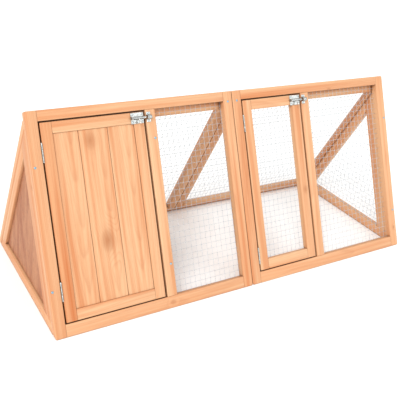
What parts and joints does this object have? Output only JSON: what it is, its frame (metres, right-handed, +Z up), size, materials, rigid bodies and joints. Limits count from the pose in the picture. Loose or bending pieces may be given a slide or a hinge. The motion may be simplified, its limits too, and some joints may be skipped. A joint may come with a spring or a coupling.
{
  "type": "rabbit hutch",
  "caption": "Triangular rabbit hutch in fir with a boarded sleeping end, a wire mesh run and side-hung front doors with barrel bolts.",
  "frame": {"origin": "on the floor, under the middle of the hutch", "axes": "+X along the ridge towards the open mesh end, the doors face -Y, +Z up"},
  "size_m": [1.18, 0.47, 0.498],
  "materials": {
    "fir_battens": "planed, honey stained",
    "fir_boards": "planed, honey stained",
    "plywood": "sanded, reddish brown",
    "welded_mesh": "galvanised",
    "galvanised_steel": "zinc plated, satin",
    "zinc_screws": "blue zinc plated"
  },
  "bodies": {
    "hutch": {"front_left_outer_stile": "fir_battens", "front_left_mid_stile": "fir_battens", "front_left_inner_stile": "fir_battens", "front_left_top_rail": "fir_battens", "front_left_bottom_rail": "fir_battens", "front_right_inner_stile": "fir_battens", "front_right_mid_stile": "fir_battens", "front_right_outer_stile": "fir_battens", "front_right_top_rail": "fir_battens", "front_right_bottom_rail": "fir_battens", "rear_left_outer_stile": "fir_battens", "rear_left_mid_stile": "fir_battens", "rear_left_inner_stile": "fir_battens", "rear_left_top_rail": "fir_battens", "rear_left_bottom_rail": "fir_battens", "rear_right_inner_stile": "fir_battens", "rear_right_outer_stile": "fir_battens", "rear_right_top_rail": "fir_battens", "rear_right_bottom_rail": "fir_battens", "left_end_front_batten": "fir_battens", "left_end_rear_batten": "fir_battens", "left_end_bottom_batten": "fir_battens", "left_end_panel": "plywood", "right_end_front_batten": "fir_battens", "right_end_rear_batten": "fir_battens", "right_end_bottom_batten": "fir_battens", "right_end_mesh": "welded_mesh", "rear_boards": "fir_boards", "partition_panel": "plywood", "partition_battens": "fir_battens", "front_left_mesh": "welded_mesh", "front_right_mesh": "welded_mesh", "rear_left_mesh": "welded_mesh", "rear_right_mesh": "welded_mesh", "frame_hinge_leaves": "galvanised_steel", "hinge_pins": "galvanised_steel", "bolt_keepers": "galvanised_steel", "keeper_screws": "zinc_screws", "frame_screws": "zinc_screws", "door_stops": "fir_battens"},
    "solid_door": {"solid_door_hinge_stile": "fir_battens", "solid_door_latch_stile": "fir_battens", "solid_door_top_rail": "fir_battens", "solid_door_bottom_rail": "fir_battens", "solid_door_plank_left": "fir_boards", "solid_door_plank_middle": "fir_boards", "solid_door_plank_right": "fir_boards", "solid_door_hinge_leaves": "galvanised_steel", "solid_door_bolt_plate": "galvanised_steel", "solid_door_bolt_screws": "zinc_screws"},
    "mesh_door": {"mesh_door_hinge_stile": "fir_battens", "mesh_door_latch_stile": "fir_battens", "mesh_door_top_rail": "fir_battens", "mesh_door_bottom_rail": "fir_battens", "mesh_door_mesh": "welded_mesh", "mesh_door_hinge_leaves": "galvanised_steel", "mesh_door_bolt_plate": "galvanised_steel", "mesh_door_bolt_screws": "zinc_screws"},
    "solid_door_bolt": {"solid_door_bolt": "galvanised_steel"},
    "mesh_door_bolt": {"mesh_door_bolt": "galvanised_steel"}
  },
  "joints": [
    {"name": "solid_door_hinge", "type": "hinge", "parent": "hutch", "child": "solid_door", "pos_m": [-0.559, -0.11698, 0.25152], "axis": [0, -0.4268, -0.9044], "range_deg": [0, 165]},
    {"name": "mesh_door_hinge", "type": "hinge", "parent": "hutch", "child": "mesh_door", "pos_m": [0.03175, -0.11698, 0.25152], "axis": [0, -0.4268, -0.9044], "range_deg": [0, 165]},
    {"name": "solid_door_bolt_slide", "type": "slide", "parent": "solid_door", "child": "solid_door_bolt", "axis": [1, 0, 0], "range_m": [-0.014, 0.01]},
    {"name": "mesh_door_bolt_slide", "type": "slide", "parent": "mesh_door", "child": "mesh_door_bolt", "axis": [1, 0, 0], "range_m": [-0.014, 0.01]}
  ]
}
